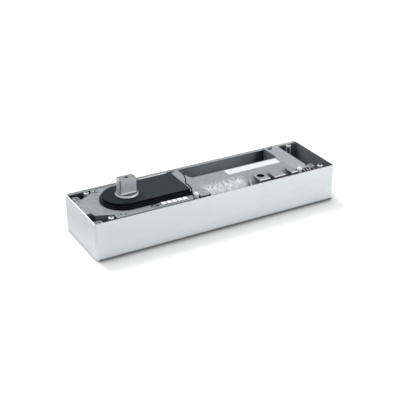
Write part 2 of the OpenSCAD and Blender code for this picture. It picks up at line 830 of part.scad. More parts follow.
module piston() {
  ring_w = 3;
  color([0.7, 0.7, 0.72]) on_cylinder() difference() {
    rod_x(piston_x0, piston_x1, cylinder_bore / 2 - run_c);
    rod_x(piston_x0 - 1, piston_x0 + 9.2, 5 + run_c);
    rod_x(piston_x1 - piston_seat, piston_x1 + 1, spring_r + spring_wire_d / 2 + 0.4);
    difference() {
      rod_x(piston_x0 + 8, piston_x0 + 8 + ring_w, 30);
      rod_x(piston_x0 + 7, piston_x0 + 9 + ring_w, cylinder_bore / 2 - 2.4);
    }
    // check valve passage
    translate([0, 8, 0]) rod_x(piston_x0 - 1, piston_x1, 1.5);
  }
}

module piston_ring() {
  color([0.25, 0.25, 0.25]) on_cylinder() difference() {
    rod_x(piston_x0 + 8.1, piston_x0 + 10.9, cylinder_bore / 2 - run_c);
    rod_x(piston_x0 + 8, piston_x0 + 11, cylinder_bore / 2 - 2.3);
  }
}

// Bush that guides the piston rod through the joint
module rod_bush() {
  color([0.72, 0.55, 0.3]) on_cylinder() difference() {
    rod_x(joint_x - 1.5, joint_x - 1.5 + bush_l, rod_d / 2 + 2);
    rod_x(joint_x - 3, joint_x + bush_l, rod_d / 2 + run_c);
  }
}

// Round wire wound on the cylinder's axis, one ring of short straight rods a turn
module closing_spring() {
  wire_r = spring_wire_d / 2;
  length = spring_x1 - spring_x0 - spring_wire_d;
  steps = 14;
  function wire_at(i) = let (a = i * 360 / steps)
    [spring_x0 + wire_r + length * i / (spring_turns * steps),
     spring_r * cos(a), spring_r * sin(a)];
  n = spring_turns * steps;
  sides = 6;
  points = [for (i = [0:n]) for (s = [0:sides - 1])
    let (p = wire_at(i), a = i * 360 / steps, b = s * 360 / sides,
         out = wire_r * cos(b))
      [p[0] + wire_r * sin(b), p[1] + out * cos(a), p[2] + out * sin(a)]];
  faces = concat(
    [[for (s = [0:sides - 1]) s]],
    [for (i = [0:n - 1]) for (s = [0:sides - 1])
      let (a = i * sides + s, b = i * sides + (s + 1) % sides)
        [a, a + sides, b + sides, b]],
    [[for (s = [sides - 1:-1:0]) n * sides + s]]);
  color([0.3, 0.31, 0.33]) on_cylinder() polyhedron(points, faces);
}

module spring_plug() {
  color([0.6, 0.6, 0.62]) on_cylinder() difference() {
    rod_x(plug_x0, plug_x1, cylinder_bore / 2 - screw_c);
    rod_x(plug_x0 + 8, plug_x1 + 1, 7);
    difference() {
      rod_x(plug_x0 + 3, plug_x0 + 5.6, 30);
      rod_x(plug_x0 + 2, plug_x0 + 6, cylinder_bore / 2 - 1.8);
    }
  }
}

module spring_plug_seal() {
  color([0.12, 0.12, 0.12]) on_cylinder() translate([plug_x0 + 4.3, 0, 0])
    rotate([0, 90, 0]) rotate_extrude()
      translate([cylinder_bore / 2 - 0.9, 0]) circle(d = 1.7);
}

// ---------- valves, plugs and levelling screws ----------

// Regulating screw of length l: slotted head, sealed neck and tapered tip
module valve(pos, top, l) {
  r = valve_d / 2;
  neck = l * 0.35;
  color([0.75, 0.72, 0.6]) translate([pos[0], pos[1], top - l])
    difference() {
      rotate_extrude() polygon([
        [0, -2.4], [1, -2.4], [1.7, 0.3], [r, 0.3], [r, neck], [r - 1.4, neck],
        [r - 1.4, neck + 1.6], [r, neck + 1.6], [r, l - 0.6], [r - 0.6, l], [0, l]]);
      driver_slot(valve_d, l, 1.6);
    }
}

module valve_seal(pos, top, l) {
  color([0.12, 0.12, 0.12])
    translate([pos[0], pos[1], top - l + l * 0.35 + 0.8])
      rotate_extrude() translate([valve_d / 2 - 0.7, 0]) circle(d = 1.3);
}

module speed_valve() { valve(speed_pos, speed_top, speed_l); }
module latch_valve() { valve(latch_pos, latch_top, latch_l); }
module speed_valve_seal() { valve_seal(speed_pos, speed_top, speed_l); }
module latch_valve_seal() { valve_seal(latch_pos, latch_top, latch_l); }

module filler_plug() {
  color([0.35, 0.35, 0.37]) translate([filler_pos[0], filler_pos[1], deck_z - 8])
    difference() {
      cylinder(h = 8.2, d = 6);
      translate([0, 0, 5]) cylinder(h = 5, d = 3, $fn = 6);
    }
}

// Pocket at the valve side's edge in which a gallery plug stands, with its bore
module gallery_pocket(p) {
  translate([p[0] - 4.4, -box_w / 2, gallery_floor])
    cube([8.8, box_w / 2 + p[1] + 4.2, 12]);
  translate([p[0], p[1], gallery_floor - gallery_l + 7])
    cylinder(h = gallery_l, d = gallery_d + 2 * screw_c);
}

// Plugs with domed heads that close the oil galleries
module gallery_plugs() {
  r = gallery_d / 2;
  color([0.9, 0.9, 0.9]) for (p = gallery_pos)
    translate([p[0], p[1], gallery_floor - gallery_l + 7.3]) rotate_extrude() {
      square([r, gallery_l + 2 - r]);
      translate([0, gallery_l + 2 - r]) intersection() { circle(r); square(r); }
    }
}

// Screw whose tip stands on the box floor and carries the closer
module levelling_screw(pos, ear_top) {
  head_h = 4.2;
  z1 = ear_top + 1.4;
  color([0.8, 0.8, 0.8]) translate([pos[0], pos[1], 0]) difference() {
    union() {
      translate([0, 0, box_wall]) cylinder(h = z1 - box_wall, d = level_d);
      translate([0, 0, z1])
        rotate_extrude() polygon([
          [0, 0], [level_head_d / 2, 0], [level_head_d / 2, head_h - 1.2],
          [level_head_d / 2 - 1.2, head_h], [0, head_h]]);
    }
    for (turn = [0, 90]) rotate([0, 0, turn]) driver_slot(level_head_d, z1 + head_h, 1.8);
  }
}

module levelling_screw_far() { levelling_screw(level_far, ear_z1); }
module levelling_screw_near() { levelling_screw(level_near, ear_z1); }
module levelling_screw_foot() { levelling_screw(level_foot, foot_ear_z1); }

cement_box();
cover_posts();
head_casting();
spring_housing();
end_foot();
joint_gasket();
joint_screws();
foot_screws();
chamber_cover();
cover_screws();
top_cap();
spindle_seal();
upper_bearing();
lower_bearing_outer_ring();
lower_bearing_balls();
lower_bearing_inner_ring();
spindle();
cam();
cam_key();
cam_circlip();
carriage();
roller_pin();
roller();
piston();
piston_ring();
rod_bush();
closing_spring();
spring_plug();
spring_plug_seal();
speed_valve();
latch_valve();
speed_valve_seal();
latch_valve_seal();
filler_plug();
gallery_plugs();
levelling_screw_far();
levelling_screw_near();
levelling_screw_foot();
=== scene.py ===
"""Floor spring door closer: finishes, label, threads, closing spring, floor, light and camera.

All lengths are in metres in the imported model's frame: X along the floor box, Z up, and
the origin in the middle of the box's underside. The spindle stands at the -X end, and
the valve side, which faces the camera, is at -Y.
"""
import math

import bpy
import bmesh
from mathutils import Matrix, Vector


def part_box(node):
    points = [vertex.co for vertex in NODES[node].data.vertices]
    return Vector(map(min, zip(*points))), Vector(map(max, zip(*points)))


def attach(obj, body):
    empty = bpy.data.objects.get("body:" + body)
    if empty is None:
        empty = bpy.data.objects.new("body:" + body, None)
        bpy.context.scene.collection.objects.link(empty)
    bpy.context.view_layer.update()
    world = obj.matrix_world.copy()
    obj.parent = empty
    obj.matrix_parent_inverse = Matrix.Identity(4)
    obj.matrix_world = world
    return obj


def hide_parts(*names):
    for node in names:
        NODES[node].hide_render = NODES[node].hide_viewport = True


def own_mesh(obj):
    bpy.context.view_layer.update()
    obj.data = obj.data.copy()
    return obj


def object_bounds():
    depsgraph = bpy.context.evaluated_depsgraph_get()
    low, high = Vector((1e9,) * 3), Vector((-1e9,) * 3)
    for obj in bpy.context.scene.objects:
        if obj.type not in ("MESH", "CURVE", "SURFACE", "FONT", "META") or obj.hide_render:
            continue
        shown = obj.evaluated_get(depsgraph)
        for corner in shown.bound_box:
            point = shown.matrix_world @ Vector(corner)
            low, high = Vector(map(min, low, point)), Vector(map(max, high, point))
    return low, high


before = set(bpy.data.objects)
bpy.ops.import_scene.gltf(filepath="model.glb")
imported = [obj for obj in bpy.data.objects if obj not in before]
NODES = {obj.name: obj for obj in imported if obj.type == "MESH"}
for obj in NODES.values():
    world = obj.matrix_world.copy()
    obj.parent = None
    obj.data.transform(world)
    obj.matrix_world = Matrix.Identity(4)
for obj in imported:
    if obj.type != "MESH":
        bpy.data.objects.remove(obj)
cad_low, cad_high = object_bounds()
MM = 0.001
POST_FLANGE_D = 10.4 * MM


# ---------------------------------------------------------------- shader helpers

def link(tree, source, target):
    tree.links.new(source, target)


def add(tree, kind, **values):
    """Adds a node; values are properties of the node, or its inputs by name."""
    node = tree.nodes.new(kind)
    for name, value in values.items():
        if hasattr(node, name):
            setattr(node, name, value)
        else:
            node.inputs[name.replace("_", " ")].default_value = value
    return node


def maths(tree, operation, first, second=None, clamp=False):
    """Math node whose two inputs are sockets or plain numbers."""
    node = tree.nodes.new("ShaderNodeMath")
    node.operation = operation
    node.use_clamp = clamp
    for slot, value in enumerate((first, second)):
        if value is None:
            continue
        if isinstance(value, (int, float)):
            node.inputs[slot].default_value = value
        else:
            link(tree, value, node.inputs[slot])
    return node.outputs[0]


def times(tree, first, *others):
    """Product of masks and numbers."""
    for other in others:
        first = maths(tree, "MULTIPLY", first, other)
    return first


def shares(tree, *parts):
    """Sum of outputs, each given with its share."""
    scaled = [maths(tree, "MULTIPLY", output, share) for output, share in parts]
    total = scaled[0]
    for part in scaled[1:]:
        total = maths(tree, "ADD", total, part)
    return total


def above(tree, value, limit):
    return maths(tree, "GREATER_THAN", value, limit)


def below(tree, value, limit):
    return maths(tree, "LESS_THAN", value, limit)


def rest_of(tree, mask):
    """1 where the mask is 0, and 0 where it is 1."""
    return maths(tree, "SUBTRACT", 1.0, mask)


def remap(tree, value, low, high, to_low=0.0, to_high=1.0):
    """Smooth step of value from to_low at low to to_high at high."""
    node = add(tree, "ShaderNodeMapRange", interpolation_type="SMOOTHSTEP")
    for slot, number in ((1, low), (2, high), (3, to_low), (4, to_high)):
        node.inputs[slot].default_value = number
    link(tree, value, node.inputs[0])
    return node.outputs[0]


def inside_range(tree, value, low, high, soft):
    """1 between low and high, falling to 0 over the distance soft."""
    rise = remap(tree, value, low - soft, low + soft)
    fall = remap(tree, value, high - soft, high + soft, 1.0, 0.0)
    return times(tree, rise, fall)


def blend(tree, factor, first, second):
    """Mixes two colours, each a socket or a plain tuple."""
    node = add(tree, "ShaderNodeMix", data_type="RGBA")
    link(tree, factor, node.inputs[0])
    for slot, value in ((6, first), (7, second)):
        if isinstance(value, tuple):
            node.inputs[slot].default_value = (*value, 1.0)
        else:
            link(tree, value, node.inputs[slot])
    return node.outputs[2]


def coat(tree, colour, mask, paint, amount=1.0):
    """Lays paint over colour where the mask is 1, thinned by amount."""
    if amount != 1.0:
        mask = times(tree, mask, amount)
    return blend(tree, mask, colour, paint)


def shade_of(colour, share):
    """The same colour, darker: share is the part of its light that stays."""
    return tuple(share * part for part in colour)


def object_place(tree):
    """Output with the place on the object, on which every pattern is laid out."""
    return tree.nodes.new("ShaderNodeTexCoord").outputs["Object"]


def split(tree, vector):
    node = tree.nodes.new("ShaderNodeSeparateXYZ")
    link(tree, vector, node.inputs[0])
    return node.outputs


def object_axes(tree):
    """Outputs X, Y and Z of the place on the object, in metres."""
    return split(tree, object_place(tree))


def face_axes(tree):
    """Outputs X, Y and Z of the direction in which a face looks."""
    return split(tree, tree.nodes.new("ShaderNodeNewGeometry").outputs["Normal"])


def length_of(tree, first, second):
    """Length of the flat vector with these two parts."""
    squares = [maths(tree, "POWER", part, 2.0) for part in (first, second)]
    return maths(tree, "SQRT", maths(tree, "ADD", *squares))


def from_axis(tree, node_name):
    """Distance from the upright axis of a CAD node."""
    low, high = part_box(node_name)
    middle = (low + high) / 2
    axes = object_axes(tree)
    return length_of(tree, *[maths(tree, "SUBTRACT", axes[i], middle[i]) for i in (0, 1)])


def new_group(name, outputs, **inputs):
    """Shader group with named number inputs; returns it with its inner sockets."""
    tree = bpy.data.node_groups.new(name, "ShaderNodeTree")
    for label, start in inputs.items():
        socket = tree.interface.new_socket(label.replace("_", " "), in_out="INPUT",
                                           socket_type="NodeSocketFloat")
        socket.default_value = start
    for label in outputs:
        tree.interface.new_socket(label, in_out="OUTPUT", socket_type="NodeSocketFloat")
    given = tree.nodes.new("NodeGroupInput")
    wanted = tree.nodes.new("NodeGroupOutput")
    return tree, given.outputs, wanted.inputs


def place_group(tree, group, **values):
    """Puts a group into a material with its own values, and returns its outputs."""
    node = tree.nodes.new("ShaderNodeGroup")
    node.node_tree = group
    for name, value in values.items():
        node.inputs[name.replace("_", " ")].default_value = value
    return node.outputs


def pattern(tree, kind, place, scale, **values):
    """Texture laid out on place, with its scale from a group's input."""
    node = add(tree, kind, **values)
    link(tree, place, node.inputs["Vector"])
    link(tree, scale, node.inputs["Scale"])
    return node.outputs[0]


# ---------------------------------------------------------------- shared effects

NOISE = "ShaderNodeTexNoise"


def make_edge_wear_and_shading():
    """Mask of the outer edges, broken up by a fine pattern; it marks worn edges, and also
    painted edge highlights and painted shade lines.
    """
    tree, given, wanted = new_group("Edge wear and painted edge shading", ["Mask"], Width=0.6 * MM, Breakup=0.4,
                                    Scale=900.0)
    rounded = add(tree, "ShaderNodeBevel", samples=6)
    link(tree, given["Width"], rounded.inputs["Radius"])
    geometry = tree.nodes.new("ShaderNodeNewGeometry")
    compare = add(tree, "ShaderNodeVectorMath", operation="DOT_PRODUCT")
    link(tree, rounded.outputs[0], compare.inputs[0])
    link(tree, geometry.outputs["Normal"], compare.inputs[1])
    edge = remap(tree, rest_of(tree, compare.outputs["Value"]), 0.02, 0.22)
    grain = pattern(tree, NOISE, object_place(tree), given["Scale"], Detail=3.0)
    holes = remap(tree, grain, 0.35, 0.6)
    lifted = maths(tree, "MAXIMUM", holes, rest_of(tree, given["Breakup"]))
    link(tree, times(tree, edge, lifted), wanted["Mask"])
    return tree


def make_cast_skin():
    """Sand-cast surface: large flow marks, sand grain and small pits."""
    tree, given, wanted = new_group("Sand-cast skin", ["Height", "Tone"], Grain=1500.0,
                                    Flow=160.0, Pits=420.0)
    place = object_place(tree)
    grain = pattern(tree, NOISE, place, given["Grain"], Detail=4.0, Roughness=0.6)
    flow = pattern(tree, NOISE, place, given["Flow"], Detail=3.0, Distortion=0.6)
    pits = pattern(tree, "ShaderNodeTexVoronoi", place, given["Pits"], Randomness=1.0)
    sparse = times(tree, remap(tree, pits, 0.05, 0.22, 1.0, 0.0),
                   remap(tree, flow, 0.5, 0.62))
    link(tree, shares(tree, (flow, 1.6), (grain, 0.5), (sparse, -0.5)), wanted["Height"])
    tone = shares(tree, (flow, 0.6), (grain, 0.4))
    link(tree, remap(tree, tone, 0.32, 0.68), wanted["Tone"])
    return tree


def make_crinkle():
    """Coarse, folded skin of metal that was poured rough: ridges a few millimetres apart."""
    tree, given, wanted = new_group("Crinkled pour", ["Height", "Tone"], Ridges=290.0,
                                    Folds=110.0, Sand=900.0)
    lean = tree.nodes.new("ShaderNodeMapping")
    lean.inputs["Rotation"].default_value = (0.0, 0.0, math.radians(-25))
    lean.inputs["Scale"].default_value = (1.6, 0.5, 0.5)
    link(tree, object_place(tree), lean.inputs["Vector"])
    place = lean.outputs[0]
    ridges = pattern(tree, NOISE, place, given["Ridges"], Detail=3.0, Distortion=0.7)
    folds = pattern(tree, NOISE, place, given["Folds"], Detail=3.0, Distortion=0.8)
    sand = pattern(tree, NOISE, place, given["Sand"], Detail=3.0)
    sharp = remap(tree, ridges, 0.34, 0.66)
    link(tree, shares(tree, (sharp, 0.6), (folds, 0.2), (sand, 0.2)), wanted["Height"])
    tone = shares(tree, (sharp, 0.6), (folds, 0.25), (sand, 0.35))
    link(tree, remap(tree, tone, 0.3, 0.85), wanted["Tone"])
    return tree


def make_brushed():
    """Fine scratches drawn out along X, Y or Z by the three stretch inputs."""
    tree, given, wanted = new_group("Brushed grain", ["Height", "Tone"], Along_X=12.0,
                                    Along_Y=900.0, Along_Z=900.0)
    stretch = add(tree, "ShaderNodeVectorMath", operation="MULTIPLY")
    sizes = tree.nodes.new("ShaderNodeCombineXYZ")
    for axis in range(3):
        link(tree, given[axis], sizes.inputs[axis])
    link(tree, object_place(tree), stretch.inputs[0])
    link(tree, sizes.outputs[0], stretch.inputs[1])
    fine = add(tree, NOISE, Scale=1.0, Detail=5.0, Roughness=0.65)
    link(tree, stretch.outputs[0], fine.inputs["Vector"])
    link(tree, fine.outputs[0], wanted["Height"])
    link(tree, remap(tree, fine.outputs[0], 0.3, 0.7), wanted["Tone"])
    return tree


def make_soil():
    """Soft patches of handling marks and dust."""
    tree, given, wanted = new_group("Handling marks", ["Mask"], Size=30.0, Fine=260.0)
    place = object_place(tree)
    wide = pattern(tree, NOISE, place, given["Size"], Detail=4.0, Distortion=0.8)
    fine = pattern(tree, NOISE, place, given["Fine"], Detail=5.0)
    both = times(tree, remap(tree, wide, 0.35, 0.7), remap(tree, fine, 0.3, 0.75))
    link(tree, both, wanted["Mask"])
    return tree


def make_recess_shade():
    """Mask of corners and hollows, where painted shade darkens them."""
    tree, given, wanted = new_group("Recess painted shade", ["Mask"], Reach=12 * MM, Start=0.35,
                                    Full=0.9)
    open_sky = add(tree, "ShaderNodeAmbientOcclusion", samples=8)
    link(tree, given["Reach"], open_sky.inputs["Distance"])
    node = add(tree, "ShaderNodeMapRange", interpolation_type="SMOOTHSTEP")
    link(tree, rest_of(tree, open_sky.outputs["AO"]), node.inputs[0])
    link(tree, given["Start"], node.inputs[1])
    link(tree, given["Full"], node.inputs[2])
    link(tree, node.outputs[0], wanted["Mask"])
    return tree


CRINKLE = make_crinkle()
EDGE_WEAR_AND_SHADING = make_edge_wear_and_shading()
RECESS_SHADE = make_recess_shade()
CAST_SKIN = make_cast_skin()
BRUSHED = make_brushed()
SOIL = make_soil()


# ---------------------------------------------------------------- finishes

def new_material(name, metallic, specular=0.5):
    """Principled material; returns it with its tree and shader."""
    material = bpy.data.materials.new(name)
    material.use_nodes = True
    tree = material.node_tree
    shader = tree.nodes["Principled BSDF"]
    shader.inputs["Metallic"].default_value = metallic
    shader.inputs["Specular IOR Level"].default_value = specular
    return material, tree, shader


def wire_shader(tree, shader, colour, tone, roughness, height, depth):
    """Feeds the shader: roughness is its value at tone 0 and at tone 1, depth the bump's."""
    link(tree, colour, shader.inputs["Base Color"])
    link(tree, remap(tree, tone, 0.0, 1.0, *roughness), shader.inputs["Roughness"])
    bump = add(tree, "ShaderNodeBump", Strength=1.0, Distance=depth)
    link(tree, height, bump.inputs["Height"])
    link(tree, bump.outputs[0], shader.inputs["Normal"])


def darken_sides(tree, colour, dark, strength):
    """Painted shade on a casting's upright faces and in its corners."""
    facing_up = maths(tree, "ABSOLUTE", face_axes(tree)[2])
    upright = remap(tree, facing_up, 0.1, 0.6, strength, 0.0)
    colour = coat(tree, colour, upright, shade_of(dark, 0.3))
    recess = place_group(tree, RECESS_SHADE)
    return coat(tree, colour, recess["Mask"], shade_of(dark, 0.15), 0.85)


def cast_material(name, dark, light, worn, side_shade, marks=None, shade_marks=None):
    """Lacquered casting: rough skin, pits, painted shade on upright faces and in corners, and
    brighter worn edges.

    The argument after worn is the strength of the painted shade on upright faces. marks paints
    one casting's own places before that shade; the last argument adds its own painted shade
    after.
    """
    material, tree, shader = new_material(name, 0.15)
    skin = place_group(tree, CAST_SKIN)
    wear = place_group(tree, EDGE_WEAR_AND_SHADING, Width=0.5 * MM)
    soil = place_group(tree, SOIL)
    colour = blend(tree, skin["Tone"], dark, light)
    colour = coat(tree, colour, soil["Mask"], shade_of(dark, 0.72), 0.35)
    if marks:
        colour = marks(tree, colour, soil["Mask"])
    # Painted shade on the upright faces and in the corners.
    colour = darken_sides(tree, colour, dark, side_shade)
    # Then the casting's own painted shade, if it has one.
    if shade_marks:
        colour = shade_marks(tree, colour)
    colour = coat(tree, colour, wear["Mask"], worn)
    wire_shader(tree, shader, colour, skin["Tone"], (0.62, 0.42), skin["Height"], 0.08 * MM)
    return material


def head_marks(tree, colour, patches):
    """Milled ledges beside the cap, the near one with a painted highlight, and painted shade in
    the counterbore of the speed valve.
    """
    ledges_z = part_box("top_cap")[0].z + 0.4 * MM
    ledges_x = -79 * MM
    near_x = (-78 * MM, -42 * MM)
    near_y = (-38 * MM, -31.8 * MM)
    groove_depth = 0.6 * MM
    soft = 0.3 * MM
    bore = (4.3 * MM, 5.3 * MM)
    x, y, z = object_axes(tree)
    milled = times(tree, above(tree, z, ledges_z), above(tree, x, ledges_x))
    near = below(tree, y, 0.0)
    far = times(tree, milled, rest_of(tree, near))
    # Milled top of the far ledge.
    colour = coat(tree, colour, far, (0.48, 0.50, 0.515))
    # Patchy strip along the near ledge: painted glints, a painted highlight.
    strip = times(tree, inside_range(tree, x, *near_x, soft),
                  inside_range(tree, y, *near_y, soft),
                  above(tree, z, ledges_z - groove_depth))
    patchy = remap(tree, patches, 0.1, 0.6, 0.75, 0.35)
    colour = coat(tree, colour, times(tree, strip, patchy), (0.80, 0.82, 0.83))
    # Near milled ledge painted near white: a painted highlight on the milled face.
    colour = coat(tree, colour, times(tree, milled, near), (0.90, 0.92, 0.93), 0.9)
    # Painted shade: a dark ring in the counterbore round the speed valve.
    away = from_axis(tree, "speed_valve")
    ring = times(tree, above(tree, away, bore[0]), below(tree, away, bore[1]))
    return coat(tree, colour, ring, (0.03, 0.033, 0.036))


def head_wall_shade(tree, colour):
    """Painted shade along both long sides, in the narrow gap next to the box wall."""
    margin_y = 41.2 * MM
    side = maths(tree, "ABSOLUTE", object_axes(tree)[1])
    return coat(tree, colour, above(tree, side, margin_y), (0.02, 0.022, 0.025), 0.9)


def machined_material(name, dark, light, metallic=0.85, roughness=(0.24, 0.4),
                      stretch=(12.0, 900.0, 900.0), wear=None):
    """Metal with a drawn-out tool grain, and lighter edges if wear is a colour."""
    material, tree, shader = new_material(name, metallic, 0.3)
    grain = place_group(tree, BRUSHED, Along_X=stretch[0], Along_Y=stretch[1],
                        Along_Z=stretch[2])
    soil = place_group(tree, SOIL, Size=60.0, Fine=400.0)
    colour = blend(tree, grain["Tone"], dark, light)
    colour = coat(tree, colour, soil["Mask"], shade_of(dark, 0.75), 0.3)
    if wear:
        edge = place_group(tree, EDGE_WEAR_AND_SHADING, Width=0.3 * MM, Breakup=0.2)
        colour = coat(tree, colour, edge["Mask"], wear)
    mixed = maths(tree, "ADD", times(tree, grain["Tone"], 0.7),
                  times(tree, soil["Mask"], 0.5), clamp=True)
    wire_shader(tree, shader, colour, mixed, roughness, grain["Height"], 0.01 * MM)
    return material


def moulded_material(name, dark, light, group, sizes, specular, roughness, depth):
    """Plain unpainted stuff, such as rubber or paper, whose tone follows one pattern."""
    material, tree, shader = new_material(name, 0.0, specular)
    grain = place_group(tree, group, **sizes)
    colour = blend(tree, grain["Tone"], dark, light)
    wire_shader(tree, shader, colour, grain["Tone"], roughness, grain["Height"], depth)
    return material


def box_plan_depth(tree, x, y, high, corner_r):
    """Distance from the plan's inset line, which is corner_r at the box's outer face."""
    past_x = maths(tree, "SUBTRACT", maths(tree, "ABSOLUTE", x), high.x - corner_r)
    past_y = maths(tree, "SUBTRACT", maths(tree, "ABSOLUTE", y), high.y - corner_r)
    round_corner = length_of(tree, maths(tree, "MAXIMUM", past_x, 0.0),
                             maths(tree, "MAXIMUM", past_y, 0.0))
    nearest = maths(tree, "MINIMUM", maths(tree, "MAXIMUM", past_x, past_y), 0.0)
    return maths(tree, "ADD", round_corner, nearest)


def box_outside(tree, place, low, grain, soil):
    """Pale plated sheet, with painted shade towards the top, more so towards the blunt end, and
    across the blunt end's face.
    """
    x, y, z = place
    shaded_grey = (0.42, 0.45, 0.46)
    end_face = 1.5 * MM
    colour = blend(tree, grain["Tone"], (0.685, 0.73, 0.74), (0.71, 0.755, 0.765))
    colour = coat(tree, colour, soil["Mask"], (0.58, 0.61, 0.63), 0.14)
    # Painted shade, darker towards the top and towards the blunt end.
    upper = times(tree, remap(tree, z, 8 * MM, 34 * MM),
                  remap(tree, x, -120 * MM, 60 * MM, 0.26, 0.12))
    colour = coat(tree, colour, upper, shaded_grey)
    # Painted shade across the blunt end's face, away from its near corner.
    on_end = times(tree, below(tree, x, low.x + end_face),
                   remap(tree, y, low.y + 4 * MM, low.y + 30 * MM, 0.0, 0.22))
    return coat(tree, colour, on_end, shaded_grey)


def box_floor_line(tree, place, low):
    """Mask of the painted contact shadow where the box meets the floor, fainter at the blunt
    end.
    """
    x, _, z = place
    return times(tree, remap(tree, z, 0.8 * MM, 3.2 * MM, 0.9, 0.0),
                 remap(tree, x, low.x + 0.5 * MM, low.x + 8 * MM, 0.25, 1.0))


def box_inside(tree, place, high, grain, soil):
    """Inside sheet, darker than the outside, with painted light on the far and end walls,
    painted shade in the corners and a painted shadow by the foot.
    """
    x, y, _ = place
    painted_light_grey = (0.33, 0.352, 0.368)
    colour = blend(tree, grain["Tone"], (0.17, 0.188, 0.20), (0.215, 0.235, 0.248))
    colour = coat(tree, colour, soil["Mask"], (0.27, 0.285, 0.295), 0.6)
    far_side = above(tree, y, 0.0)
    # Painted light on the far wall, away from both ends.
    far_wall_lit = times(tree, far_side, inside_range(tree, x, 8 * MM, 84 * MM, 16 * MM))
    colour = coat(tree, colour, far_wall_lit, painted_light_grey, 0.7)
    # Painted light on the middle of the end wall by the foot.
    end_wall_lit = times(tree, inside_range(tree, y, -26 * MM, 26 * MM, 9 * MM),
                      above(tree, x, high.x - 4 * MM))
    colour = coat(tree, colour, end_wall_lit, painted_light_grey, 0.5)
    # Painted shade in the corners.
    recess = place_group(tree, RECESS_SHADE, Reach=26 * MM, Start=0.28, Full=0.75)
    colour = coat(tree, colour, recess["Mask"], (0.035, 0.038, 0.042))
    # Painted shadow on the far wall beside the foot.
    foot_shadow = times(tree, far_side, inside_range(tree, x, 105 * MM, 124 * MM, 7 * MM))
    return coat(tree, colour, foot_shadow, (0.012, 0.014, 0.016), 0.85)


def box_material():
    """Zinc-plated sheet: pale outside with a satin grain, much darker inside, with painted light
    and shade on the rim, the walls and the floor line.
    """
    material, tree, shader = new_material("Zinc-plated sheet", 0.25)
    low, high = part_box("cement_box")
    half_sheet = 0.75 * MM
    corner_r = 4 * MM
    face_skin = 0.1 * MM
    rim_skin = 0.4 * MM
    band = (3.5 * MM, 2.6 * MM)
    wall_zone = 3 * MM
    place = object_axes(tree)
    x, y, z = place
    depth = box_plan_depth(tree, x, y, high, corner_r)
    # Painted light on a band at the top of the far wall's inner face, coloured as the rim.
    far_band = times(tree, remap(tree, z, high.z - band[0], high.z - band[1]),
                     above(tree, y, high.y - wall_zone))
    on_rim = maths(tree, "MAXIMUM", far_band, above(tree, z, high.z - rim_skin))
    inside = times(tree, below(tree, depth, corner_r - half_sheet),
                   above(tree, z, low.z + half_sheet), rest_of(tree, on_rim))
    grain = place_group(tree, BRUSHED, Along_X=40.0, Along_Y=1400.0, Along_Z=1400.0)
    soil = place_group(tree, SOIL, Size=14.0, Fine=120.0)
    edge = place_group(tree, EDGE_WEAR_AND_SHADING, Breakup=0.15)
    # Rim: painted highlight, with painted shade on the near side's rim.
    rim = blend(tree, below(tree, y, low.y + wall_zone), (0.96, 0.975, 0.98),
                (0.34, 0.36, 0.37))
    rim_face = times(tree, on_rim, below(tree, depth, corner_r - face_skin))
    outside = box_outside(tree, place, low, grain, soil)
    outside = coat(tree, outside, rim_face, rim)
    outside = coat(tree, outside, edge["Mask"], (0.86, 0.88, 0.89))
    # Painted contact shadow along the floor line.
    outside = coat(tree, outside, box_floor_line(tree, place, low), (0.12, 0.125, 0.13))
    colour = blend(tree, inside, outside, box_inside(tree, place, high, grain, soil))
    wire_shader(tree, shader, colour, soil["Mask"], (0.38, 0.55), grain["Height"],
                0.002 * MM)
    return material


def cap_material():
    """Black moulded cap: matt grained top painted lighter than the smoother stepped sides, as
    painted light and shade, with a painted reflection and a painted spindle shadow on the top.
    """
    material, tree, shader = new_material("Matt black moulding", 0.0, 0.08)
    low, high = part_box("top_cap")
    top_skin = 0.5 * MM
    skin = place_group(tree, CAST_SKIN, Grain=2600.0, Flow=90.0, Pits=1200.0)
    soil = place_group(tree, SOIL, Size=45.0, Fine=600.0)
    edge = place_group(tree, EDGE_WEAR_AND_SHADING, Width=0.4 * MM)
    x, y, z = object_axes(tree)
    # Flat top painted lightest, ledges less and upright sides blackest: painted light and shade
    # by face direction.
    level = remap(tree, face_axes(tree)[2], 0.6, 0.95)
    flat_top = times(tree, level, above(tree, z, high.z - top_skin))
    ledge = maths(tree, "SUBTRACT", level, flat_top)
    # Painted reflection: the top grows lighter towards the joint.
    towards_joint = remap(tree, x, low.x + 6 * MM, low.x + 66 * MM)
    dim_reflection = blend(tree, skin["Tone"], (0.006, 0.009, 0.012), (0.010, 0.014, 0.018))
    bright_reflection = blend(tree, skin["Tone"], (0.019, 0.025, 0.030), (0.026, 0.032, 0.039))
    grained = blend(tree, towards_joint, dim_reflection, bright_reflection)
    # Painted shadow of the spindle on the top, in front of its round end.
    near_round_end = times(tree, remap(tree, y, -26 * MM, -16 * MM, 0.7, 0.0),
                           remap(tree, x, low.x + 22 * MM, low.x + 46 * MM, 1.0, 0.0))
    grained = coat(tree, grained, near_round_end, (0.003, 0.0045, 0.006))
    colour = blend(tree, flat_top, (0.0015, 0.002, 0.003), grained)
    colour = coat(tree, colour, ledge, (0.016, 0.019, 0.023))
    colour = coat(tree, colour, soil["Mask"], (0.06, 0.065, 0.07), 0.08)
    colour = coat(tree, colour, edge["Mask"], (0.05, 0.055, 0.06), 0.3)
    wire_shader(tree, shader, colour, flat_top, (0.38, 0.62), skin["Height"], 0.02 * MM)
    return material


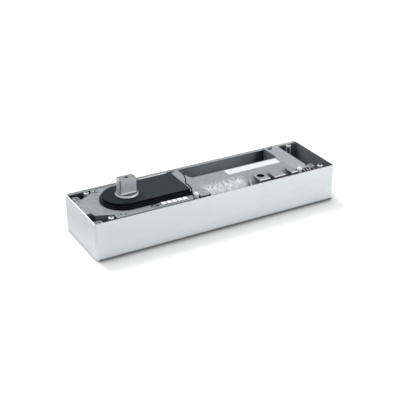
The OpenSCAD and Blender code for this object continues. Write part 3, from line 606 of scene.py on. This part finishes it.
def spindle_material():
    """Ground steel with painted light and shade: a tone for each face direction, shade lines at
    corners and edges, highlights on collar and rims, shade in the hole.
    """
    material, tree, shader = new_material("Ground spindle steel", 0.35, 0.4)
    low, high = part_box("spindle")
    edge_shade_grey = (0.15, 0.162, 0.172)
    end_shade_band = (4.2 * MM, 5.2 * MM)
    corner = (low.x + 4.6 * MM, low.x + 5.4 * MM)
    form_h = 18 * MM
    collar_z = high.z - form_h + 0.1 * MM
    chamfer_z = high.z - 1.5 * MM
    hole_r = 2.7 * MM
    hole_z = high.z - 0.3 * MM
    grain = place_group(tree, BRUSHED, Along_X=500.0, Along_Y=500.0, Along_Z=90.0)
    soil = place_group(tree, SOIL, Size=60.0, Fine=400.0)
    edge = place_group(tree, EDGE_WEAR_AND_SHADING, Width=0.7 * MM, Breakup=0.15)
    x, y, z = object_axes(tree)
    facing = face_axes(tree)
    flat_side = remap(tree, maths(tree, "ABSOLUTE", facing[1]), 0.9, 0.99)
    level = remap(tree, maths(tree, "ABSOLUTE", facing[2]), 0.9, 0.99)
    # Painted light and shade by face direction: the round ends, the flats and the top each get
    # their own tone of the same steel.
    ends = blend(tree, grain["Tone"], (0.52, 0.545, 0.56), (0.66, 0.685, 0.70))
    # Painted shade lines on both sides of the corners between the round ends and the flats.
    ends = coat(tree, ends, remap(tree, maths(tree, "ABSOLUTE", y), *end_shade_band), edge_shade_grey)
    flats = blend(tree, grain["Tone"], (0.42, 0.445, 0.46), (0.49, 0.515, 0.53))
    flats = coat(tree, flats, remap(tree, x, *corner, 1.0, 0.0), edge_shade_grey)
    # Painted highlight on the flats towards their foot.
    foot_glow = remap(tree, z, high.z - form_h, high.z - 8 * MM, 0.5, 0.0)
    flats = coat(tree, flats, foot_glow, (0.62, 0.645, 0.66))
    tops = blend(tree, grain["Tone"], (0.19, 0.20, 0.205), (0.235, 0.247, 0.252))
    colour = blend(tree, flat_side, ends, flats)
    colour = coat(tree, colour, level, tops)
    # Collar: painted shade on its level ledge and a painted highlight on its side.
    on_collar = below(tree, z, collar_z)
    colour = coat(tree, colour, times(tree, on_collar, level), (0.10, 0.107, 0.113))
    collar_side = times(tree, on_collar, rest_of(tree, level))
    colour = coat(tree, colour, collar_side, (0.70, 0.72, 0.73))
    # Painted shade lines along the edges of the flattened form, and painted highlights along the
    # other edges.
    on_form = maths(tree, "SUBTRACT", below(tree, z, chamfer_z), on_collar)
    colour = coat(tree, colour, times(tree, edge["Mask"], on_form), (0.07, 0.075, 0.08))
    rims = times(tree, edge["Mask"], rest_of(tree, on_form))
    colour = coat(tree, colour, rims, (0.6, 0.62, 0.63), 0.5)
    colour = coat(tree, colour, soil["Mask"], (0.2, 0.21, 0.22), 0.2)
    # Painted shade inside the threaded hole.
    hole = times(tree, below(tree, from_axis(tree, "spindle"), hole_r),
                 below(tree, z, hole_z))
    colour = coat(tree, colour, hole, (0.02, 0.022, 0.024))
    wire_shader(tree, shader, colour, grain["Tone"], (0.3, 0.45), grain["Height"],
                0.006 * MM)
    return material


def post_material():
    """Zinc-plated post, bright outside, with painted shade inside its bore."""
    material, tree, shader = new_material("Zinc-plated post", 0.8)
    low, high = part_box("cover_posts")
    bore_r = 2.95 * MM
    ring_skin = 0.1 * MM
    grain = place_group(tree, BRUSHED, Along_X=500.0, Along_Y=500.0, Along_Z=500.0)
    edge = place_group(tree, EDGE_WEAR_AND_SHADING, Width=0.5 * MM, Breakup=0.15)
    place = object_axes(tree)
    middle = (low + high) / 2
    from_post = []
    for axis in (0, 1):
        spread = (high[axis] - low[axis] - POST_FLANGE_D) / 2
        away = maths(tree, "ABSOLUTE", maths(tree, "SUBTRACT", place[axis], middle[axis]))
        from_post.append(maths(tree, "SUBTRACT", away, spread))
    # Painted shade inside the bore.
    inside = times(tree, below(tree, length_of(tree, *from_post), bore_r),
                   below(tree, place[2], high.z - ring_skin))
    plated = blend(tree, grain["Tone"], (0.66, 0.68, 0.69), (0.84, 0.86, 0.87))
    plated = coat(tree, plated, edge["Mask"], (0.95, 0.96, 0.96))
    colour = coat(tree, plated, inside, (0.035, 0.038, 0.042))
    wire_shader(tree, shader, colour, grain["Tone"], (0.45, 0.3), grain["Height"],
                0.01 * MM)
    return material


def housing_material():
    """Smooth lacquered flats and a crinkled as-cast skin on the round barrel, with painted
    glints and highlights on barrel and pad lip, and painted shade on upright faces, pad gaps and
    valve hole.
    """
    material, tree, shader = new_material("Housing casting", 0.15)
    barrel_x = (-10 * MM, 47 * MM)
    barrel_y = (-22 * MM, -8 * MM)
    barrel_z = 20 * MM
    raggedness = 16 * MM
    pad_gaps = ((76.4 * MM, 83.2 * MM), (100 * MM, 109.4 * MM))
    gap_top = 48 * MM
    lip_x, lip_y, lip_z = 50 * MM, -36.9 * MM, 48.8 * MM
    hole_r = 5.4 * MM
    hole_z = 49.1 * MM
    skin = place_group(tree, CAST_SKIN, Flow=200.0)
    crinkle = place_group(tree, CRINKLE)
    wear = place_group(tree, EDGE_WEAR_AND_SHADING, Width=0.8 * MM, Breakup=0.2)
    soil = place_group(tree, SOIL)
    x, y, z = object_axes(tree)
    ragged = times(tree, maths(tree, "SUBTRACT", crinkle["Height"], 0.5), raggedness)
    barrel = times(tree, remap(tree, maths(tree, "ADD", y, ragged), *barrel_y, 1.0, 0.0),
                   inside_range(tree, maths(tree, "ADD", x, ragged), *barrel_x, 5 * MM),
                   above(tree, z, barrel_z))
    smooth = blend(tree, skin["Tone"], (0.217, 0.238, 0.255), (0.268, 0.293, 0.31))
    smooth = coat(tree, smooth, soil["Mask"], (0.21, 0.23, 0.245), 0.3)
    # Painted shade on the upright faces and in the corners.
    smooth = darken_sides(tree, smooth, (0.29, 0.315, 0.335), 0.7)
    # Barrel: rough as-cast skin, its bright flecks painted glints, with a painted highlight on
    # its lower part.
    bright = blend(tree, crinkle["Tone"], (0.20, 0.218, 0.232), (0.74, 0.76, 0.775))
    lower = remap(tree, y, -30 * MM, -18 * MM, 0.8, 0.0)
    bright = coat(tree, bright, lower, (0.76, 0.78, 0.79))
    colour = blend(tree, barrel, smooth, bright)
    # Painted shade inside the latch valve's hole.
    hole = times(tree, below(tree, from_axis(tree, "latch_valve"), hole_r),
                 below(tree, z, hole_z))
    colour = coat(tree, colour, hole, (0.008, 0.009, 0.01))
    # Painted shade in the gaps between the pads.
    in_gap = maths(tree, "MAXIMUM", *[inside_range(tree, x, *gap, 0.3 * MM)
                                      for gap in pad_gaps])
    in_gap = times(tree, in_gap, remap(tree, y, -28 * MM, -20 * MM, 1.0, 0.0),
                   below(tree, z, gap_top))
    colour = coat(tree, colour, in_gap, (0.05, 0.055, 0.06), 0.6)
    # Painted highlight along the pads' near lip, joined with real edge wear.
    on_lip = times(tree, below(tree, y, lip_y), above(tree, x, lip_x), above(tree, z, lip_z))
    lip_highlight_and_wear = maths(tree, "MAXIMUM", on_lip, times(tree, wear["Mask"], 0.5))
    colour = coat(tree, colour, lip_highlight_and_wear, (0.86, 0.88, 0.89))
    relief = maths(tree, "ADD", times(tree, skin["Height"], 0.1),
                   times(tree, crinkle["Height"], barrel))
    wire_shader(tree, shader, colour, skin["Tone"], (0.62, 0.42), relief, 1.0 * MM)
    return material


def even(size):
    """Grain as fine as size that isn't drawn out in any direction."""
    return size, size, size


FINISH = {
    "box": box_material(),
    "head": cast_material("Head casting lacquer", (0.212, 0.234, 0.248),
                          (0.258, 0.282, 0.297), (0.56, 0.585, 0.60), 0.55,
                          head_marks, head_wall_shade),
    "housing": housing_material(),
    "foot": cast_material("Foot casting lacquer", (0.265, 0.287, 0.305),
                          (0.315, 0.34, 0.358), (0.55, 0.575, 0.59), 0.3),
    "spindle": spindle_material(),
    "post": post_material(),
    "plug": machined_material("White zinc plug", (0.84, 0.86, 0.87), (0.92, 0.93, 0.94),
                              0.1, (0.28, 0.42), even(300.0)),
    "black oxide": machined_material("Blackened valve steel", (0.012, 0.012, 0.013),
                                     (0.03, 0.03, 0.032), 0.4, (0.4, 0.55),
                                     even(600.0)),
    # Dark thread finish: painted shade in the bores of the posts and the spindle.
    "post thread": machined_material("Post thread in painted bore shade", (0.05, 0.054, 0.058),
                                     (0.14, 0.15, 0.155), 0.4, (0.35, 0.5),
                                     even(600.0)),
    "machined": machined_material("Machined steel", (0.36, 0.37, 0.38),
                                  (0.5, 0.51, 0.52), roughness=(0.28, 0.42)),
    "hard": machined_material("Hardened steel", (0.46, 0.46, 0.47), (0.6, 0.6, 0.61),
                              roughness=(0.14, 0.26), stretch=(300.0, 900.0, 900.0)),
    "dark zinc": machined_material("Passivated screw", (0.16, 0.17, 0.18),
                                   (0.36, 0.38, 0.39), 0.4, (0.35, 0.5),
                                   even(420.0), (0.62, 0.64, 0.65)),
    "zinc": machined_material("Zinc-plated screw", (0.26, 0.278, 0.29),
                              (0.56, 0.585, 0.60), roughness=(0.25, 0.42),
                              stretch=even(500.0), wear=(0.8, 0.81, 0.81)),
    "bronze": machined_material("Sintered bronze", (0.36, 0.24, 0.10), (0.5, 0.35, 0.16),
                                roughness=(0.3, 0.46), stretch=(500.0, 500.0, 900.0)),
    "spring": machined_material("Oil-hardened wire", (0.035, 0.034, 0.033),
                                (0.075, 0.07, 0.068), roughness=(0.28, 0.45)),
    "cap": cap_material(),
    "rubber": moulded_material("Oiled rubber", (0.012, 0.012, 0.012), (0.03, 0.03, 0.031),
                               CAST_SKIN, {"Grain": 3000.0, "Flow": 300.0},
                               0.5, (0.35, 0.6), 0.01 * MM),
    "gasket": moulded_material("Fibre gasket", (0.035, 0.03, 0.026), (0.08, 0.07, 0.055),
                               BRUSHED, {"Along_X": 2000.0, "Along_Y": 500.0,
                                         "Along_Z": 300.0}, 0.3, (0.7, 0.9), 0.03 * MM),
    "label": moulded_material("White label stock", (0.67, 0.70, 0.71), (0.73, 0.76, 0.78),
                              CAST_SKIN, {"Grain": 2600.0, "Flow": 120.0},
                              0.5, (0.36, 0.5), 0.012 * MM),
}

NODES_WITH = {
    "box": ["cement_box"], "head": ["head_casting"], "housing": ["spring_housing"],
    "foot": ["end_foot"], "cap": ["top_cap"], "spindle": ["spindle"],
    "post": ["cover_posts"], "plug": ["gallery_plugs"], "gasket": ["joint_gasket"],
    "black oxide": ["latch_valve"], "bronze": ["upper_bearing", "rod_bush"],
    "zinc": ["joint_screws", "foot_screws", "cover_screws", "filler_plug"],
    "dark zinc": ["speed_valve", "levelling_screw_far", "levelling_screw_near",
                  "levelling_screw_foot"],
    "machined": ["chamber_cover", "cam_key", "carriage", "piston", "spring_plug"],
    "hard": ["lower_bearing_outer_ring", "lower_bearing_balls",
             "lower_bearing_inner_ring", "cam", "roller_pin", "roller"],
    "spring": ["cam_circlip", "piston_ring", "closing_spring"],
    "rubber": ["spindle_seal", "spring_plug_seal", "speed_valve_seal",
               "latch_valve_seal"],
}


def finish_nodes():
    """Gives every CAD node its finish."""
    for kind, names in NODES_WITH.items():
        for name in names:
            mesh = NODES[name].data
            mesh.materials.clear()
            mesh.materials.append(FINISH[kind])


# ---------------------------------------------------------------- own pieces

def rounded_outline(x0, x1, y0, y1, radius, steps=6):
    """Points of a rectangle with round corners, anticlockwise."""
    points = []
    for cx, cy, start in ((x1 - radius, y1 - radius, 0), (x0 + radius, y1 - radius, 90),
                          (x0 + radius, y0 + radius, 180), (x1 - radius, y0 + radius, 270)):
        for i in range(steps + 1):
            angle = math.radians(start + 90 * i / steps)
            points.append((cx + radius * math.cos(angle), cy + radius * math.sin(angle)))
    return points


def make_label():
    """Thin white label on the housing's flat top."""
    x0, x1, y0, y1 = 35 * MM, 114 * MM, -3.8 * MM, 9.2 * MM
    corner_r = 0.8 * MM
    thickness = 0.14 * MM
    glue = 0.02 * MM
    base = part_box("spring_housing")[1].z + glue
    outline = rounded_outline(x0, x1, y0, y1, corner_r)
    count = len(outline)
    points = [(x, y, z) for z in (base, base + thickness) for x, y in outline]
    under = list(reversed(range(count)))
    top = list(range(count, 2 * count))
    sides = [(i, (i + 1) % count, count + (i + 1) % count, count + i)
             for i in range(count)]
    mesh = bpy.data.meshes.new("housing_label")
    mesh.from_pydata(points, [], [under, top, *sides])
    mesh.materials.append(FINISH["label"])
    piece = bpy.data.objects.new("housing_label", mesh)
    bpy.context.scene.collection.objects.link(piece)
    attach(piece, "floor_unit")


def make_helix_tree():
    """Geometry Nodes: a helix of bar, for a thread ridge or a spring, on every input point."""
    tree = bpy.data.node_groups.new("Helix of bar", "GeometryNodeTree")
    tree.interface.new_socket("Places", in_out="INPUT", socket_type="NodeSocketGeometry")
    for label, kind, value in (
            ("Radius", "NodeSocketFloat", 4 * MM), ("Length", "NodeSocketFloat", 20 * MM),
            ("Pitch", "NodeSocketFloat", 1.25 * MM), ("Bar radius", "NodeSocketFloat", 0.3 * MM),
            ("Steps per turn", "NodeSocketInt", 20), ("Sides", "NodeSocketInt", 4)):
        socket = tree.interface.new_socket(label, in_out="INPUT", socket_type=kind)
        socket.default_value = value
    tree.interface.new_socket("Finish", in_out="INPUT", socket_type="NodeSocketMaterial")
    tree.interface.new_socket("Helices", in_out="OUTPUT", socket_type="NodeSocketGeometry")
    given = tree.nodes.new("NodeGroupInput").outputs
    end = tree.nodes.new("NodeGroupOutput")
    helix = tree.nodes.new("GeometryNodeCurveSpiral")
    section = tree.nodes.new("GeometryNodeCurvePrimitiveCircle")
    sweep = add(tree, "GeometryNodeCurveToMesh", Fill_Caps=True)
    copies = tree.nodes.new("GeometryNodeInstanceOnPoints")
    real = tree.nodes.new("GeometryNodeRealizeInstances")
    finish = tree.nodes.new("GeometryNodeSetMaterial")
    turns = maths(tree, "DIVIDE", given["Length"], given["Pitch"])
    for source, target in (
            (given["Sides"], section.inputs["Resolution"]),
            (given["Bar radius"], section.inputs["Radius"]),
            (turns, helix.inputs["Rotations"]),
            (given["Steps per turn"], helix.inputs["Resolution"]),
            (given["Radius"], helix.inputs["Start Radius"]),
            (given["Radius"], helix.inputs["End Radius"]),
            (given["Length"], helix.inputs["Height"]),
            (helix.outputs[0], sweep.inputs["Curve"]),
            (section.outputs[0], sweep.inputs["Profile Curve"]),
            (given["Places"], copies.inputs["Points"]),
            (sweep.outputs[0], copies.inputs["Instance"]),
            (copies.outputs[0], real.inputs[0]),
            (real.outputs[0], finish.inputs["Geometry"]),
            (given["Finish"], finish.inputs["Material"]),
            (finish.outputs[0], end.inputs[0])):
        link(tree, source, target)
    return tree


def make_helix(name, places, kind, body, slot, lay_along_x=None, **sizes):
    """Plain mesh of the helix at each place, made by the Geometry Nodes tree.

    lay_along_x is the point at which an upright helix is laid down along X.
    """
    seeds = bpy.data.meshes.new(name)
    seeds.from_pydata(places, [], [])
    piece = bpy.data.objects.new(name, seeds)
    bpy.context.scene.collection.objects.link(piece)
    modifier = piece.modifiers.new("Helix", "NODES")
    modifier.node_group = HELIX_TREE
    for item in HELIX_TREE.interface.items_tree:
        key = item.name.replace(" ", "_")
        if item.in_out == "INPUT" and key in sizes:
            modifier[item.identifier] = sizes[key]
        elif item.name == "Finish":
            modifier[item.identifier] = FINISH[kind]
    graph = bpy.context.evaluated_depsgraph_get()
    done = bpy.data.meshes.new_from_object(piece.evaluated_get(graph))
    piece.modifiers.clear()
    piece.data = done
    done.name = name
    merged = bmesh.new()
    merged.from_mesh(done)
    if lay_along_x:
        lying = Matrix.Rotation(math.pi / 2, 4, "Y")
        merged.transform(Matrix.Translation(lay_along_x) @ lying)
    bmesh.ops.remove_doubles(merged, verts=merged.verts, dist=0.001 * MM)
    bmesh.ops.recalc_face_normals(merged, faces=merged.faces)
    merged.to_mesh(done)
    merged.free()
    if not done.materials:
        done.materials.append(FINISH[kind])
    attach(piece, body)
    return piece


def make_spring():
    """Closing spring: a helix of wire made in place of the CAD node, which is hidden."""
    wire_d = 5 * MM
    turns = 9
    low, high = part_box("closing_spring")
    middle = (low + high) / 2
    length = high.x - low.x - wire_d
    coil = make_helix("closing_spring_coil", [(0, 0, 0)], "spring", "floor_unit",
                      "spring_steel", (low.x + wire_d / 2, middle.y, middle.z),
                      Radius=(high.y - low.y - wire_d) / 2, Length=length,
                      Pitch=length / turns, Bar_radius=wire_d / 2, Steps_per_turn=32,
                      Sides=14)
    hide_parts("closing_spring")
    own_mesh(coil)


def make_threads():
    """Threads of the three levelling screws, the spindle's hole and the four posts."""
    tip = 1.2 * MM
    for place in ("far", "near", "foot"):
        low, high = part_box("levelling_screw_" + place)
        middle = (low + high) / 2
        make_helix("levelling_thread_" + place, [(middle.x, middle.y, low.z + tip)],
                   "dark zinc", "levelling_%s_unit" % place, "zinc_screw",
                   Radius=3.95 * MM, Length=22.5 * MM, Pitch=1.25 * MM,
                   Bar_radius=0.36 * MM)
    bore_thread_l = 11.2 * MM
    bore_thread_drop = 12 * MM
    low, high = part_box("spindle")
    middle = (low + high) / 2
    make_helix("spindle_hole_thread", [(middle.x, middle.y, high.z - bore_thread_drop)],
               "post thread", "spindle_unit", "spindle_steel", Radius=2.52 * MM,
               Length=bore_thread_l, Pitch=1.0 * MM, Bar_radius=0.26 * MM)
    low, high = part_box("cover_posts")
    inset = POST_FLANGE_D / 2
    places = [(x, y, high.z - bore_thread_drop) for x in (low.x + inset, high.x - inset)
              for y in (low.y + inset, high.y - inset)]
    make_helix("post_threads", places, "post thread", "floor_unit", "post_steel",
               Radius=2.12 * MM, Length=bore_thread_l, Pitch=0.8 * MM,
               Bar_radius=0.24 * MM)


# ---------------------------------------------------------------- floor, light, camera

def seen_directly(tree):
    """1 for rays that come from the camera or a mirror, 0 for light that bounces."""
    path = tree.nodes.new("ShaderNodeLightPath")
    return maths(tree, "MAXIMUM", path.outputs["Is Camera Ray"],
                 path.outputs["Is Glossy Ray"])


def floor_material():
    """Near white to the eye, with a painted soft shadow near the box and a painted dark contact
    shadow beside it.
    """
    material = bpy.data.materials.new("Pale floor")
    material.use_nodes = True
    tree = material.node_tree
    tree.nodes.clear()
    tight_reach = 12 * MM
    wide_reach = 30 * MM
    end_zone = (-175 * MM, -165 * MM)
    tight = add(tree, "ShaderNodeAmbientOcclusion", samples=12, Distance=tight_reach)
    wide = add(tree, "ShaderNodeAmbientOcclusion", samples=12, Distance=wide_reach)
    past_end = remap(tree, object_axes(tree)[0], *end_zone, 1.0, 0.0)
    open_floor = maths(tree, "MAXIMUM", remap(tree, wide.outputs["AO"], 0.4, 0.95), past_end)
    off_the_wall = maths(tree, "MAXIMUM", remap(tree, tight.outputs["AO"], 0.35, 0.85),
                         times(tree, past_end, 0.8))
    colour = blend(tree, open_floor, (0.50, 0.50, 0.50), (0.94, 0.94, 0.94))
    colour = blend(tree, off_the_wall, (0.08, 0.08, 0.08), colour)
    diffuse = add(tree, "ShaderNodeBsdfDiffuse")
    link(tree, colour, diffuse.inputs["Color"])

    distance = add(tree, "ShaderNodeVectorMath", operation="LENGTH")
    link(tree, object_place(tree), distance.inputs[0])
    fade = remap(tree, distance.outputs["Value"], 0.45, 1.3, 0.11, 0.75)
    # Painted light: lifts the floor by the blunt end, where the box shades it.
    end_lift = times(tree, rest_of(tree, wide.outputs["AO"]), past_end, 1.1)
    lift = maths(tree, "ADD", fade, end_lift)
    glow = add(tree, "ShaderNodeEmission", Color=(1, 1, 1, 1))
    link(tree, times(tree, seen_directly(tree), lift), glow.inputs["Strength"])
    total = tree.nodes.new("ShaderNodeAddShader")
    out = tree.nodes.new("ShaderNodeOutputMaterial")
    link(tree, diffuse.outputs[0], total.inputs[0])
    link(tree, glow.outputs[0], total.inputs[1])
    link(tree, total.outputs[0], out.inputs["Surface"])
    return material


def make_floor():
    """Pale floor just under the box, so that the two faces don't coincide."""
    half = 6.0
    gap = 0.2 * MM
    corners = [(-half, -half, 0), (half, -half, 0), (half, half, 0), (-half, half, 0)]
    mesh = bpy.data.meshes.new("floor")
    mesh.from_pydata(corners, [], [(0, 1, 2, 3)])
    mesh.materials.append(floor_material())
    floor = bpy.data.objects.new("floor", mesh)
    floor.location.z = -gap
    bpy.context.scene.collection.objects.link(floor)


def make_world():
    """Even white surroundings, brighter where they are seen than where they light."""
    as_light, as_seen = 0.62, 1.0
    world = bpy.data.worlds.new("Studio")
    bpy.context.scene.world = world
    world.use_nodes = True
    tree = world.node_tree
    tree.nodes.clear()
    back = add(tree, "ShaderNodeBackground", Color=(1, 1, 1, 1))
    out = tree.nodes.new("ShaderNodeOutputWorld")
    strength = remap(tree, seen_directly(tree), 0.0, 1.0, as_light, as_seen)
    link(tree, strength, back.inputs["Strength"])
    link(tree, back.outputs[0], out.inputs["Surface"])


def make_lamp(name, place, target, size, power):
    """Round soft lamp that shines from place towards target."""
    data = bpy.data.lights.new(name, "AREA")
    data.shape = "DISK"
    data.size = size
    data.energy = power
    lamp = bpy.data.objects.new(name, data)
    lamp.location = place
    lamp.rotation_mode = "QUATERNION"
    lamp.rotation_quaternion = (Vector(target) - Vector(place)).to_track_quat("-Z", "Y")
    bpy.context.scene.collection.objects.link(lamp)


def make_camera():
    """Camera turned 29 degrees to the left of the near side, and 27 degrees up.

    Its distance and its shift are in lengths of the unit, and its lens in sensor widths.
    """
    azimuth, elevation = math.radians(-29.11), math.radians(27.01)
    distance, shift_left, shift_up = 3.67, 0.014, 0.052
    sensor_w = 36
    lens_share = 2.42
    length = cad_high.x - cad_low.x
    back = Vector((math.sin(azimuth) * math.cos(elevation),
                   -math.cos(azimuth) * math.cos(elevation), math.sin(elevation)))
    right = Vector((math.cos(azimuth), math.sin(azimuth), 0))
    up = right.cross(-back)
    data = bpy.data.cameras.new("Camera")
    data.sensor_width = sensor_w
    data.lens = lens_share * sensor_w
    data.clip_start, data.clip_end = 0.05, 50
    camera = bpy.data.objects.new("Camera", data)
    camera.rotation_mode = "QUATERNION"
    camera.location = (back * distance - right * shift_left + up * shift_up) * length
    camera.rotation_quaternion = (-back).to_track_quat("-Z", "Y")
    bpy.context.scene.collection.objects.link(camera)
    bpy.context.scene.camera = camera


HELIX_TREE = make_helix_tree()
make_camera()
finish_nodes()
make_label()
make_threads()
make_spring()
make_floor()
make_world()
make_lamp("Key", (-0.2, 1.25, 2.0), (0, 0, 0), 1.0, 33)
make_lamp("Fill", (1.3, -1.3, 0.9), (0.1, 0, 0), 1.0, 12)
bpy.context.scene.view_settings.view_transform = "Standard"

bpy.context.view_layer.update()
